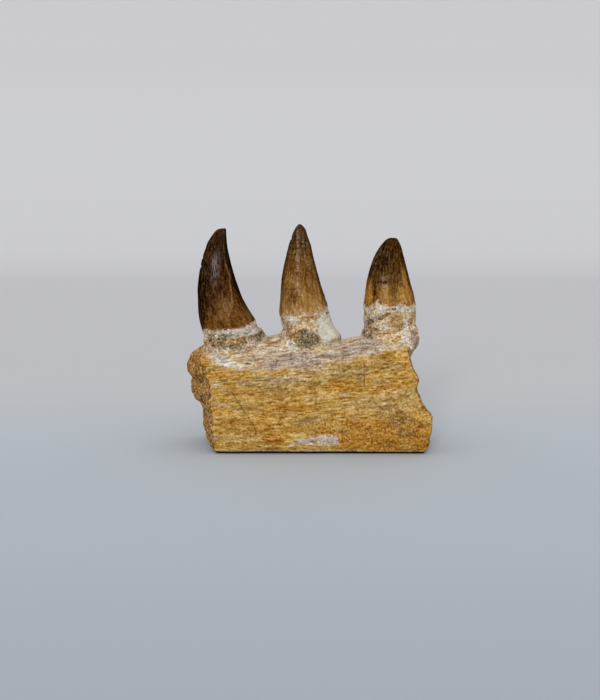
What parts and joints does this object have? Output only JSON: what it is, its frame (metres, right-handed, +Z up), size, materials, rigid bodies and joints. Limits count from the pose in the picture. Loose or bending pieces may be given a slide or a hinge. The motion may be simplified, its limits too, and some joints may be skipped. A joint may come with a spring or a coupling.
{
  "type": "fossil mosasaur jaw",
  "caption": "Broken length of fossil mosasaur jaw bone with curved teeth standing in their sockets, resting on a flat sawn base.",
  "frame": {"origin": "middle of the rectangle that the object fills on the surface it stands on, at the height of its sawn base", "axes": "+X along the jaw towards its back end, +Y from the outer face of the jaw to the inner face, +Z up along the teeth"},
  "size_m": [0.12, 0.04, 0.1088],
  "materials": {
    "bone": "golden ochre fossil bone, fibrous grain, matt to slightly waxy",
    "tooth": "glossy dark brown enamel, pale matt root",
    "matrix": "matt cemented sand"
  },
  "bodies": {
    "root": {"jaw_bone": "bone", "tooth_left": "tooth", "tooth_middle": "tooth", "tooth_right": "tooth", "matrix_left": "matrix", "matrix_middle": "matrix", "matrix_right": "matrix"}
  },
  "joints": []
}
